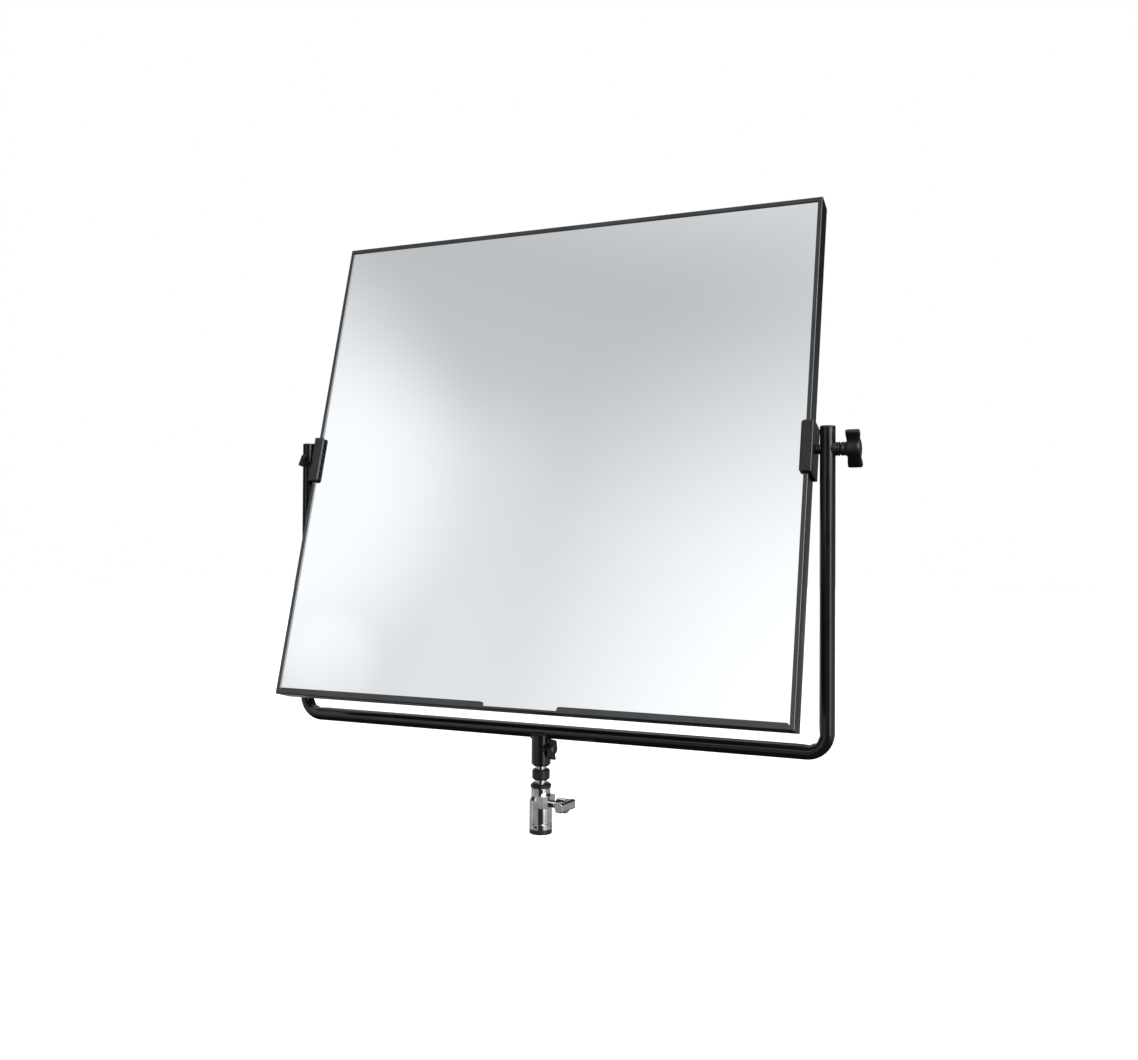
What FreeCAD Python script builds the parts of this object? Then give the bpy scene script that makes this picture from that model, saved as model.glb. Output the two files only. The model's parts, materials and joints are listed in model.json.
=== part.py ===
import FreeCAD, Part
import math
import os

from FreeCAD import Placement, Rotation, Vector

# Mirror reflector board on a bent-tube yoke, with a stand adapter under it.
# Millimetres. +Z up, +X along the tilt axis, -Y the side that the mirror faces.
# The origin is the mouth of the stand socket, on the socket's axis.

# ---- fits and clearances ---------------------------------------------------
RUN_FIT = 0.05        # radial clearance of a shaft that turns or slides in its hole
SEAT_FIT = 0.02       # radial clearance of two pieces fixed to each other
FACE_GAP = 0.10       # between two flat faces that turn or lift against each other
CURVE_GAP = 0.30      # between two curved faces on different bodies
OVERRUN = 1.0         # how far a cutting solid runs past what it cuts
TINY = 1e-6           # for telling whether two places are the same

# ---- stand adapter ---------------------------------------------------------
SOCKET_R = 8.1        # takes a 16 mm (5/8 in) stand spigot
SOCKET_DEPTH = 42.0
BODY_R = 13.0
BODY_NECK_R = 11.0
BODY_SHOULDER_Z = 38.2
SHOULDER_H = 4.2
BODY_TOP_Z = 51.6
BODY_GROOVE_Z = 11.6
BODY_GROOVE_DEPTH = 0.35
BODY_GROOVE_H = 0.6
END_RING_H = 5.3
END_RING_R = 13.0
END_RING_BEVEL = 0.6
END_SLEEVE_R = 10.0   # the part of the end ring that plugs into the body
END_SLEEVE_TOP_Z = 14.5
WINDOW_Z = 7.5        # snap windows of the end ring, through the body's wall
WINDOW_H = 2.4
WINDOW_W = 3.4
WINDOW_COUNT = 4
WINDOW_TURN = -92.0
TAB_BITE = 1.0        # how deep a tab is rooted in the end ring's sleeve
TAB_SHY = 1.2         # how far a tab stops inside the body's surface
TOP_RING_H = 5.2
TOP_RING_R = 11.9
TOP_RING_BEVEL = 2.0
TOP_RING_FOOT = 0.8   # small bevel under the ring

# ---- spigot and the collar on it -------------------------------------------
SPIGOT_TENON_R = 6.0
SPIGOT_TENON_DEPTH = 7.5
SPIGOT_STEM_R = 7.0
SPIGOT_NECK_R = 6.25
SPIGOT_R = 7.95
SPIGOT_LAND_H = 11.5
SPIGOT_GROOVE_H = 13.0
SPIGOT_CONE_H = 1.6
SPIGOT_BEVEL = 1.0
COLLAR_GAP = 3.9
COLLAR_H = 12.2
COLLAR_R = 10.1
COLLAR_BEVEL = 1.7
RECEIVER_GAP = 3.6

# ---- receiver under the yoke -----------------------------------------------
RECEIVER_R = 11.0
RECEIVER_CHAMFER = 2.2
RECEIVER_BELOW = 31.1  # from its lower end to the underside of the yoke tube
RECEIVER_HUG = 5.0     # how far it reaches up the sides of the yoke tube
RECEIVER_ROOF = 1.9    # metal left between its bore and the yoke tube

# ---- lock screws: stand T-handle, receiver knob, left lock lever ------------
HANDLE_Z = 34.7
HANDLE_TURN = -10.0    # direction of the T-handle's screw, from +X towards +Y
HANDLE_SHANK_R = 4.0
HANDLE_BAR = (8.8, 30.0, 10.7)    # along the screw, across it, thickness
HANDLE_BAR_START = 28.9
HANDLE_BAR_R = 2.4     # rounding of the bar's long edges
HANDLE_END_R = 1.2     # rounding of the rims of its ends
HANDLE_HUB_R = 8.2
HANDLE_HUB_LEAD = 5.6  # hub before the bar
HANDLE_HUB_L = 12.4
SCREW_IN_HANDLE = 0.7  # share of a handle's depth that its screw fills
LUG_START = 3.5        # cast lug that carries the T-handle's thread
LUG_REACH = 15.5
LUG_FRONT = 13.6
LUG_BACK = 6.0
LUG_H = 14.0
LUG_RISE = 2.8         # centre of the lug above the screw
LUG_BEVEL = 4.5
PAD_STANDOFF = 0.2     # between a lock screw's pad and what it will grip
KNOB_Z_BELOW_TUBE = 10.4
KNOB_TURN = -26.0
KNOB_BOSS_R = 6.0
KNOB_BOSS_REACH = 13.2
KNOB_SHANK_R = 3.0
KNOB_START = 15.0
KNOB_HUB_R = 5.4
KNOB_NECK_R = 4.4
KNOB_NECK_GAP = 0.5    # between the receiver's boss and the knob's neck
KNOB_SPAN = 22.0
KNOB_DEPTH = 9.2
KNOB_THICK = 6.5
WING_CORNER_R = 2.6    # largest rounding of a wing's long edges
WING_CORNER_SHARE = 0.35
WING_RIM_R = 1.1
WING_HUB_SHY = 0.8     # hub stops short of the wings' outer face
HUB_EDGE_R = 0.7
LEVER_TURN = -78.0
LEVER_SHANK_R = 3.0
LEVER_BLADE = (14.5, 14.4, 4.2)  # along the screw, across it, thickness
LEVER_BLADE_R = 2.4
LEVER_BLADE_RISE = 1.7           # centre of the blade above the screw's axis
LEVER_ROLL = -21.0
LEVER_COLLAR_R = 4.6
LEVER_COLLAR_H = 2.0
LEVER_COLLAR_GAP = 0.4
LEVER_PAD_L = 1.2
PAD_SHRINK = 0.1       # pad radius under the screw's own
PAD_L = 2.0
ROOT = 0.5             # how far a piece of a solid is sunk into its neighbour

# ---- yoke ------------------------------------------------------------------
TUBE_R = 8.0
TUBE_WALL = 1.5
BEND_R = 21.5
UPRIGHT_ABOVE = 21.4   # tube end above the tilt axis
CAP_H = 2.7
CAP_PLUG_H = 6.0
CAP_BEVEL = 1.0
CAP_RIM = 0.3          # middle of the cap's two-step bevel
INSERT_ABOVE = 11.0    # solid rod inside each upright, above and below the axis
INSERT_BELOW = 44.0
GRUB_BELOW = 36.5
GRUB_R = 1.5
GRUB_L = 4.0
GRUB_SINK = 0.2
SWING_GAP = 14.7       # free space under the board as it turns over

# ---- tilt axis hardware ----------------------------------------------------
STUD_R = 4.0
SHOULDER_R = 5.2
SHOULDER_L = 2.4
SHOULDER_EDGE_R = 0.6
PIVOT_GAP = 4.6        # from the clamp's outer face to the upright
SADDLE_OUT_R = 7.2
SADDLE_OUT_FACE = 2.3  # beyond the upright's outermost line
SADDLE_DOME_R = 1.6
SADDLE_IN_R = 5.2
SADDLE_IN_DOME_R = 0.6
SADDLE_SINK = 0.55     # share of the tube's radius at which a saddle starts
WASHER_R = 7.3
WASHER_T = 2.2
WASHER_EDGE_R = 0.8
HUB_R = 7.0
HUB_L = 5.6
HUB_NECK_R = 5.6
HUB_NECK_L = 0.8
TILT_KNOB_SPAN = 42.4
TILT_KNOB_DEPTH = 15.0
TILT_KNOB_THICK = 7.5
TILT_KNOB_BODY_R = 8.6
TILT_KNOB_ROLL = 32.0
NUT_R = 5.4            # metal insert moulded into the tilt knob
NUT_L = 11.0
NUT_LEAD = 1.0         # insert starts this far inside the hub
STUD_IN_NUT = 15.5     # length of stud inside the tilt knob
STUD_SPARE = 3.2       # room for the stud's end as the knob backs off
PIN_BLIND = 1.6        # left tilt pin stops this far short of the far wall
PIN_GROOVE_DEPTH = 1.0

# ---- board -----------------------------------------------------------------
BOARD_W = 610.0
BOARD_H = 580.0
BOARD_DEPTH = 28.5
BOARD_TILT = 15.1      # top leans away from the mirror's side
BOARD_SETBACK = 3.8    # mid-plane behind the tilt axis
FRAME_WALL = 1.6
FRAME_EDGE_R = 1.2     # outer edges of the channel
LIP_SIDE = 5.0
LIP_BOTTOM = 7.5
LIP_REAR = 14.0
LIP_GAP_W = 87.0
LIP_GAP_X = 11.5
LIP_GAP_LEFT = 1.4     # flange left standing in the gap
LIP_END_R = 3.0
GLASS_T = 4.0
FOAM_T = 2.0
EDGE_GAP = 0.8         # glass, foam and core inside the frame
PLATE_LEG = 55.0
PLATE_W = 13.0
PLATE_T = 1.6
PLATE_INSET = 1.4
PLATE_SCREW_R = 3.2
PLATE_SCREW_H = 1.3
PLATE_SHANK_R = 1.4
PLATE_SHANK_L = 9.0
PLATE_HOLE_PITCH = 16.0

# ---- edge clamps -----------------------------------------------------------
CLAMP_H = 57.2
CLAMP_T = 2.5
CLAMP_REACH = 9.4      # front and rear flange over the frame
CLAMP_CORNER_R = 3.2
CLAMP_EDGE_R = 2.0     # rims of its front and rear faces
LINER_T = 1.5
LINER_SHY = 1.5        # liner ends this far inside the clamp
LINER_CORNER_R = 2.0
LINER_EDGE_R = 0.3
CLAMP_SCREW_UP = 19.5
CLAMP_SCREW_R = 2.6
CLAMP_SCREW_H = 1.2
CLAMP_RIVET_R = 1.1
CLAMP_RIVET_H = 0.25
CLAMP_RIVET_IN = 1.0   # from the frame's side
CLAMP_RIVET_UP = 20.5

# ---- places worked out from the sizes above --------------------------------
SHOULDER_TOP_Z = BODY_SHOULDER_Z + SHOULDER_H
COLLAR_Z = BODY_TOP_Z + TOP_RING_H + COLLAR_GAP
RECEIVER_Z = COLLAR_Z + COLLAR_H + RECEIVER_GAP
TUBE_Z = RECEIVER_Z + RECEIVER_BELOW + TUBE_R
BORE_TOP_Z = TUBE_Z - TUBE_R - RECEIVER_ROOF
SPIGOT_TOP_Z = BORE_TOP_Z - FACE_GAP
KNOB_Z = TUBE_Z - TUBE_R - KNOB_Z_BELOW_TUBE
PIVOT_Z = TUBE_Z + TUBE_R + SWING_GAP + BOARD_H / 2
CLAMP_IN_X = BOARD_W / 2 + LINER_T
CLAMP_OUT_X = CLAMP_IN_X + CLAMP_T
UPRIGHT_X = CLAMP_OUT_X + PIVOT_GAP + TUBE_R
BORE_R = STUD_R + RUN_FIT
INSERT_R = TUBE_R - TUBE_WALL - SEAT_FIT
PIN_GROOVE_W = 2 * (LEVER_SHANK_R + 4 * CURVE_GAP)
FRONT_Y = BOARD_SETBACK - BOARD_DEPTH / 2
BACK_Y = BOARD_SETBACK + BOARD_DEPTH / 2

X_AXIS = Vector(1, 0, 0)
Y_AXIS = Vector(0, 1, 0)
Z_AXIS = Vector(0, 0, 1)
PIVOT = Vector(0, 0, PIVOT_Z)

pieces = {}
board_holes = []


def add(node, *solids):
    """Keep the solids of one named node."""
    pieces.setdefault(node, []).extend(solids)


def rod(radius, start, end):
    """Cylinder between two points."""
    along = end - start
    return Part.makeCylinder(radius, along.Length, start, along)


def rod_z(radius, low, high):
    return rod(radius, Vector(0, 0, low), Vector(0, 0, high))


def turned(profile):
    """Solid of revolution about Z from (radius, height) points."""
    points = [Vector(radius, 0, height) for radius, height in profile]
    face = Part.Face(Part.makePolygon(points + points[:1]))
    return face.revolve(Vector(0, 0, 0), Z_AXIS, 360)


def block(low, high):
    size = high - low
    return Part.makeBox(size.x, size.y, size.z, low)


def rounded(solid, radius, keep):
    """Round the straight edges that keep(edge) chooses."""
    edges = [edge for edge in solid.Edges if keep(edge)]
    return solid.makeFillet(radius, edges)


def is_rim(edge):
    """Chooser of full circles."""
    return len(edge.Vertexes) == 1


def on_plane_y(*heights):
    """Chooser of edges that lie in any of some planes across Y."""
    def keep(edge):
        box = edge.BoundBox
        return any(abs(box.YMin - y) < TINY and abs(box.YMax - y) < TINY for y in heights)
    return keep


def button(radius, start, end, edge_r):
    """Cylinder with both rims rounded."""
    return rounded(rod(radius, start, end), edge_r, is_rim)


def edge_runs(axis):
    """Chooser of edges that run along an axis."""
    def keep(edge):
        if len(edge.Vertexes) != 2:
            return False
        run = edge.Vertexes[1].Point - edge.Vertexes[0].Point
        return run.cross(axis).Length < TINY
    return keep


def joined(*solids):
    return solids[0].multiFuse(list(solids[1:])).removeSplitter()


def placed(shape, place):
    moved = shape.copy()
    moved.Placement = place.multiply(shape.Placement)
    return moved


def screw_place(turn, height, centre_x=0.0, roll=0.0):
    """Frame whose +X runs out along a level screw, and whose +Z is up before the roll."""
    facing = Rotation(Z_AXIS, turn).multiply(Rotation(X_AXIS, roll))
    return Placement(Vector(centre_x, 0, height), facing)


def board_place():
    """Frame of the board: +Z up the board, +Y out of its back, on the tilt axis."""
    return Placement(PIVOT, Rotation(X_AXIS, -BOARD_TILT))


# ---- stand adapter ---------------------------------------------------------
def window(turn, reach):
    """Block through the body's wall where the end ring snaps in."""
    shape = block(
        Vector(END_SLEEVE_R - OVERRUN, -WINDOW_W / 2, WINDOW_Z),
        Vector(reach, WINDOW_W / 2, WINDOW_Z + WINDOW_H),
    )
    shape.rotate(Vector(0, 0, 0), Z_AXIS, turn)
    return shape


def window_turns():
    return [WINDOW_TURN + 360.0 * i / WINDOW_COUNT for i in range(WINDOW_COUNT)]


def make_adapter_body():
    body = turned([
        (0, END_RING_H),
        (BODY_R, END_RING_H),
        (BODY_R, BODY_SHOULDER_Z),
        (BODY_NECK_R, SHOULDER_TOP_Z),
        (BODY_NECK_R, BODY_TOP_Z),
        (0, BODY_TOP_Z),
    ])
    lug = block(
        Vector(LUG_START, -LUG_FRONT, LUG_RISE - LUG_H / 2),
        Vector(LUG_REACH, LUG_BACK, LUG_RISE + LUG_H / 2),
    )
    upright = edge_runs(Z_AXIS)
    corner = [edge for edge in lug.Edges
              if upright(edge) and edge.CenterOfMass.x > LUG_START and edge.CenterOfMass.y < 0]
    lug = lug.makeChamfer(LUG_BEVEL, corner)
    place = screw_place(HANDLE_TURN, HANDLE_Z)
    body = joined(body, placed(lug, place))
    cuts = [
        rod_z(SOCKET_R, 0, SOCKET_DEPTH),
        rod_z(END_SLEEVE_R + SEAT_FIT, 0, END_SLEEVE_TOP_Z + FACE_GAP),
        rod_z(SPIGOT_TENON_R + SEAT_FIT, BODY_TOP_Z - SPIGOT_TENON_DEPTH, BODY_TOP_Z + OVERRUN),
        turned([
            (BODY_R - BODY_GROOVE_DEPTH, BODY_GROOVE_Z),
            (BODY_R + OVERRUN, BODY_GROOVE_Z),
            (BODY_R + OVERRUN, BODY_GROOVE_Z + BODY_GROOVE_H),
            (BODY_R - BODY_GROOVE_DEPTH, BODY_GROOVE_Z + BODY_GROOVE_H),
        ]),
    ]
    shank = rod(HANDLE_SHANK_R + RUN_FIT, Vector(0, 0, 0), Vector(LUG_REACH + OVERRUN, 0, 0))
    cuts.append(placed(shank, place))
    cuts.extend(window(turn, BODY_R + OVERRUN) for turn in window_turns())
    add("adapter_body", body.cut(cuts))


def make_adapter_rings():
    end_ring = turned([
        (SOCKET_R, 0),
        (END_RING_R - END_RING_BEVEL, 0),
        (END_RING_R, END_RING_BEVEL),
        (END_RING_R, END_RING_H - FACE_GAP),
        (END_SLEEVE_R, END_RING_H - FACE_GAP),
        (END_SLEEVE_R, END_SLEEVE_TOP_Z),
        (SOCKET_R, END_SLEEVE_TOP_Z),
    ])
    tabs = []
    for turn in window_turns():
        tab = block(
            Vector(END_SLEEVE_R - TAB_BITE, -WINDOW_W / 2 + FACE_GAP, WINDOW_Z + FACE_GAP),
            Vector(BODY_R - TAB_SHY, WINDOW_W / 2 - FACE_GAP, WINDOW_Z + WINDOW_H - FACE_GAP),
        )
        tab.rotate(Vector(0, 0, 0), Z_AXIS, turn)
        tabs.append(tab)
    add("adapter_end_ring", joined(end_ring, *tabs))

    low = BODY_TOP_Z
    high = BODY_TOP_Z + TOP_RING_H
    bore = SPIGOT_STEM_R + SEAT_FIT
    add("adapter_top_ring", turned([
        (bore, low),
        (TOP_RING_R - TOP_RING_FOOT, low),
        (TOP_RING_R, low + TOP_RING_FOOT),
        (TOP_RING_R, high - TOP_RING_BEVEL),
        (TOP_RING_R - TOP_RING_BEVEL, high),
        (bore, high),
    ]))


def make_spigot():
    collar_top = COLLAR_Z + COLLAR_H
    land_low = RECEIVER_Z + RECEIVER_CHAMFER
    land_high = land_low + SPIGOT_LAND_H
    groove_low = land_high + SPIGOT_CONE_H
    groove_high = groove_low + SPIGOT_GROOVE_H - 2 * SPIGOT_CONE_H
    end_land = groove_high + SPIGOT_CONE_H
    add("spigot", turned([
        (0, BODY_TOP_Z - SPIGOT_TENON_DEPTH + FACE_GAP),
        (SPIGOT_TENON_R, BODY_TOP_Z - SPIGOT_TENON_DEPTH + FACE_GAP),
        (SPIGOT_TENON_R, BODY_TOP_Z),
        (SPIGOT_STEM_R, BODY_TOP_Z),
        (SPIGOT_STEM_R, COLLAR_Z),
        (SPIGOT_NECK_R, COLLAR_Z),
        (SPIGOT_NECK_R, land_low),
        (SPIGOT_R, land_low),
        (SPIGOT_R, land_high),
        (SPIGOT_NECK_R, groove_low),
        (SPIGOT_NECK_R, groove_high),
        (SPIGOT_R, end_land),
        (SPIGOT_R, SPIGOT_TOP_Z - SPIGOT_BEVEL),
        (SPIGOT_R - SPIGOT_BEVEL, SPIGOT_TOP_Z),
        (0, SPIGOT_TOP_Z),
    ]))
    bore = SPIGOT_NECK_R + SEAT_FIT
    add("spigot_collar", turned([
        (bore, COLLAR_Z),
        (COLLAR_R - COLLAR_BEVEL, COLLAR_Z),
        (COLLAR_R, COLLAR_Z + COLLAR_BEVEL),
        (COLLAR_R, collar_top - COLLAR_BEVEL),
        (COLLAR_R - COLLAR_BEVEL, collar_top),
        (bore, collar_top),
    ]))


def lock_pad(radius, start):
    """Brass pad between a lock screw and what it grips, in the screw's own frame."""
    return rod(radius - PAD_SHRINK, Vector(start, 0, 0), Vector(start + PAD_L, 0, 0))


def make_t_handle():
    place = screw_place(HANDLE_TURN, HANDLE_Z)
    pad_start = SOCKET_R + PAD_STANDOFF
    add("t_handle_pad", placed(lock_pad(HANDLE_SHANK_R, pad_start), place))

    depth, length, thick = HANDLE_BAR
    shank_start = pad_start + PAD_L + FACE_GAP
    shank_end = HANDLE_BAR_START + depth * SCREW_IN_HANDLE
    add("t_handle_screw", placed(
        rod(HANDLE_SHANK_R, Vector(shank_start, 0, 0), Vector(shank_end, 0, 0)), place))

    bar = block(
        Vector(HANDLE_BAR_START, -length / 2, -thick / 2),
        Vector(HANDLE_BAR_START + depth, length / 2, thick / 2),
    )
    bar = rounded(bar, HANDLE_BAR_R, edge_runs(Y_AXIS))
    bar = rounded(bar, HANDLE_END_R, on_plane_y(-length / 2, length / 2))
    hub_start = HANDLE_BAR_START - HANDLE_HUB_LEAD
    hub = button(HANDLE_HUB_R, Vector(hub_start, 0, 0), Vector(hub_start + HANDLE_HUB_L, 0, 0), HANDLE_END_R)
    handle = joined(bar, hub)
    hole = rod(HANDLE_SHANK_R + SEAT_FIT, Vector(0, 0, 0), Vector(shank_end + FACE_GAP, 0, 0))
    add("t_handle", placed(handle.cut(hole), place))


# ---- receiver and its knob -------------------------------------------------
def wing_knob(start, hub_r, span, depth, thick):
    """Two-winged knob on an axis along +X, wings along Z, front face at start + depth."""
    wing = block(
        Vector(start, -thick / 2, -span / 2),
        Vector(start + depth, thick / 2, span / 2),
    )
    wing = rounded(wing, min(WING_CORNER_R, thick * WING_CORNER_SHARE), edge_runs(X_AXIS))
    wing = rounded(wing, WING_RIM_R, edge_runs(Z_AXIS))
    hub = button(hub_r, Vector(start, 0, 0), Vector(start + depth - WING_HUB_SHY, 0, 0), HUB_EDGE_R)
    return joined(wing, hub)


def make_receiver():
    top = TUBE_Z - TUBE_R + RECEIVER_HUG
    body = turned([
        (0, RECEIVER_Z),
        (RECEIVER_R - RECEIVER_CHAMFER, RECEIVER_Z),
        (RECEIVER_R, RECEIVER_Z + RECEIVER_CHAMFER),
        (RECEIVER_R, top),
        (0, top),
    ])
    place = screw_place(KNOB_TURN, KNOB_Z)
    boss = rod(KNOB_BOSS_R, Vector(0, 0, 0), Vector(KNOB_BOSS_REACH, 0, 0))
    shank = rod(KNOB_SHANK_R + RUN_FIT, Vector(0, 0, 0), Vector(KNOB_BOSS_REACH + OVERRUN, 0, 0))
    body = joined(body, placed(boss, place))
    half = RECEIVER_R + OVERRUN
    add("receiver", body.cut([
        rod_z(SPIGOT_R + RUN_FIT, RECEIVER_Z - OVERRUN, BORE_TOP_Z),
        rod(TUBE_R + SEAT_FIT, Vector(-half, 0, TUBE_Z), Vector(half, 0, TUBE_Z)),
        placed(shank, place),
    ]))


def make_receiver_knob():
    place = screw_place(KNOB_TURN, KNOB_Z)
    pad_start = SPIGOT_NECK_R + FACE_GAP
    add("receiver_pad", placed(lock_pad(KNOB_SHANK_R, pad_start), place))
    shank_end = KNOB_START + KNOB_DEPTH * SCREW_IN_HANDLE
    add("receiver_screw", placed(rod(
        KNOB_SHANK_R,
        Vector(pad_start + PAD_L + FACE_GAP, 0, 0),
        Vector(shank_end, 0, 0),
    ), place))
    knob = wing_knob(KNOB_START, KNOB_HUB_R, KNOB_SPAN, KNOB_DEPTH, KNOB_THICK)
    neck = rod(KNOB_NECK_R, Vector(KNOB_BOSS_REACH + KNOB_NECK_GAP, 0, 0), Vector(KNOB_START + OVERRUN, 0, 0))
    hole = rod(KNOB_SHANK_R + SEAT_FIT, Vector(0, 0, 0), Vector(shank_end + FACE_GAP, 0, 0))
    add("receiver_knob", placed(joined(knob, neck).cut(hole), place))


# ---- yoke ------------------------------------------------------------------
def tube_path_solid(radius):
    """Round bar along the yoke: upright, bend, cross run, bend, upright."""
    run_x = UPRIGHT_X - BEND_R
    bend_z = TUBE_Z + BEND_R
    top_z = PIVOT_Z + UPRIGHT_ABOVE
    solids = [rod(radius, Vector(-run_x, 0, TUBE_Z), Vector(run_x, 0, TUBE_Z))]
    for side in (-1, 1):
        solids.append(rod(radius, Vector(side * UPRIGHT_X, 0, bend_z),
                          Vector(side * UPRIGHT_X, 0, top_z)))
        section = Part.Face(Part.Wire(Part.makeCircle(
            radius, Vector(side * UPRIGHT_X, 0, bend_z), Z_AXIS)))
        solids.append(section.revolve(Vector(side * run_x, 0, bend_z), Y_AXIS, side * 90))
    return joined(*solids)


def lever_place(roll=0.0):
    return screw_place(LEVER_TURN, PIVOT_Z, -UPRIGHT_X, roll)


def upright_cuts(side):
    """Holes through one upright and the rod inside it."""
    pivot_at = Vector(side * UPRIGHT_X, 0, PIVOT_Z)
    inward = Vector(-side * (TUBE_R + OVERRUN), 0, 0)
    if side > 0:
        bore = rod(BORE_R, pivot_at + inward, pivot_at - inward)
        return [bore]
    blind = Vector(side * (TUBE_R - PIN_BLIND), 0, 0)
    bore = rod(BORE_R, pivot_at + inward, pivot_at + blind)
    screw = rod(LEVER_SHANK_R + RUN_FIT, Vector(0, 0, 0), Vector(TUBE_R + OVERRUN, 0, 0))
    return [bore, placed(screw, lever_place())]


def grub_hole(side, radius):
    grub_at = Vector(side * UPRIGHT_X, -TUBE_R - OVERRUN, PIVOT_Z - GRUB_BELOW)
    inner = Vector(side * UPRIGHT_X, GRUB_SINK + GRUB_L - TUBE_R, PIVOT_Z - GRUB_BELOW)
    return rod(radius, grub_at, inner)


def make_yoke():
    tube = tube_path_solid(TUBE_R)
    bore = tube_path_solid(TUBE_R - TUBE_WALL)
    cuts = [bore]
    for side, name in ((-1, "left"), (1, "right")):
        x = side * UPRIGHT_X
        holes = upright_cuts(side) + [grub_hole(side, GRUB_R + SEAT_FIT)]
        cuts.extend(holes)

        insert = rod(INSERT_R, Vector(x, 0, PIVOT_Z - INSERT_BELOW), Vector(x, 0, PIVOT_Z + INSERT_ABOVE))
        add("upright_insert_" + name, insert.cut(holes))

        grub_z = PIVOT_Z - GRUB_BELOW
        grub_end = GRUB_SINK + GRUB_L - TUBE_R - FACE_GAP
        grub = rod(GRUB_R, Vector(x, GRUB_SINK - TUBE_R, grub_z), Vector(x, grub_end, grub_z))
        add("insert_screws", grub)

        cap_z = PIVOT_Z + UPRIGHT_ABOVE
        cap = turned([
            (0, -CAP_PLUG_H),
            (INSERT_R, -CAP_PLUG_H),
            (INSERT_R, 0),
            (TUBE_R, 0),
            (TUBE_R, CAP_H - CAP_BEVEL),
            (TUBE_R - CAP_RIM, CAP_H - CAP_RIM),
            (TUBE_R - CAP_BEVEL, CAP_H),
            (0, CAP_H),
        ])
        cap.translate(Vector(x, 0, cap_z))
        add("end_cap_" + name, cap)
    add("yoke_tube", tube.cut(cuts))


def saddle(side, face_x, radius, seat_out, dome_r):
    """Washer whose one face is hollowed to sit on an upright; seat_out is +1 outside it."""
    start = Vector(side * (UPRIGHT_X + seat_out * TUBE_R * SADDLE_SINK), 0, PIVOT_Z)
    end = Vector(side * face_x, 0, PIVOT_Z)
    washer = rounded(rod(radius, start, end), dome_r,
                     lambda edge: is_rim(edge) and abs(edge.CenterOfMass.x - end.x) < TINY)
    upright = rod(
        TUBE_R + SEAT_FIT,
        Vector(side * UPRIGHT_X, 0, PIVOT_Z - 2 * radius),
        Vector(side * UPRIGHT_X, 0, PIVOT_Z + 2 * radius),
    )
    overrun = Vector(side * seat_out * OVERRUN, 0, 0)
    return washer.cut([upright, rod(BORE_R, start - overrun, end + overrun)])


def make_saddles():
    inner_face = CLAMP_OUT_X + SHOULDER_L + CURVE_GAP
    for side, name in ((-1, "left"), (1, "right")):
        add("inner_saddle_" + name, saddle(side, inner_face, SADDLE_IN_R, -1, SADDLE_IN_DOME_R))
    outer_face = UPRIGHT_X + TUBE_R + SADDLE_OUT_FACE
    add("outer_saddle_right", saddle(1, outer_face, SADDLE_OUT_R, 1, SADDLE_DOME_R))


# ---- tilt knob on the right, lock lever on the left ------------------------
def make_tilt_knob():
    washer_x = UPRIGHT_X + TUBE_R + SADDLE_OUT_FACE + FACE_GAP
    washer = button(WASHER_R, Vector(washer_x, 0, PIVOT_Z), Vector(washer_x + WASHER_T, 0, PIVOT_Z),
                    WASHER_EDGE_R)
    axis_hole = rod(BORE_R, Vector(washer_x - OVERRUN, 0, PIVOT_Z),
                    Vector(washer_x + WASHER_T + OVERRUN, 0, PIVOT_Z))
    add("tilt_washer", washer.cut(axis_hole))

    start = washer_x + WASHER_T + FACE_GAP
    hub_x = start + HUB_NECK_L
    wings_x = hub_x + HUB_L
    stud_end = wings_x + STUD_IN_NUT - HUB_L
    knob = joined(
        wing_knob(wings_x, TILT_KNOB_BODY_R, TILT_KNOB_SPAN, TILT_KNOB_DEPTH, TILT_KNOB_THICK),
        rod(HUB_NECK_R, Vector(start, 0, 0), Vector(hub_x + OVERRUN, 0, 0)),
        button(HUB_R, Vector(hub_x, 0, 0), Vector(wings_x + OVERRUN, 0, 0), HUB_EDGE_R),
    )
    nut_x = hub_x + NUT_LEAD
    cuts = [
        rod(BORE_R, Vector(start - OVERRUN, 0, 0), Vector(stud_end + STUD_SPARE, 0, 0)),
        rod(NUT_R + SEAT_FIT, Vector(nut_x, 0, 0), Vector(nut_x + NUT_L, 0, 0)),
    ]
    rolled = screw_place(0, PIVOT_Z, 0, TILT_KNOB_ROLL)
    add("tilt_knob", placed(knob.cut(cuts), rolled))
    nut = rod(NUT_R, Vector(nut_x + SEAT_FIT, 0, 0), Vector(nut_x + NUT_L - SEAT_FIT, 0, 0))
    nut = nut.cut(rod(BORE_R, Vector(nut_x - OVERRUN, 0, 0), Vector(nut_x + NUT_L + OVERRUN, 0, 0)))
    add("tilt_knob_insert", placed(nut, rolled))

    stud = joined(
        button(SHOULDER_R, Vector(CLAMP_OUT_X, 0, PIVOT_Z), Vector(CLAMP_OUT_X + SHOULDER_L, 0, PIVOT_Z),
               SHOULDER_EDGE_R),
        rod(STUD_R, Vector(CLAMP_IN_X, 0, PIVOT_Z), Vector(stud_end, 0, PIVOT_Z)),
    )
    add("pivot_stud_right", stud)


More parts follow.
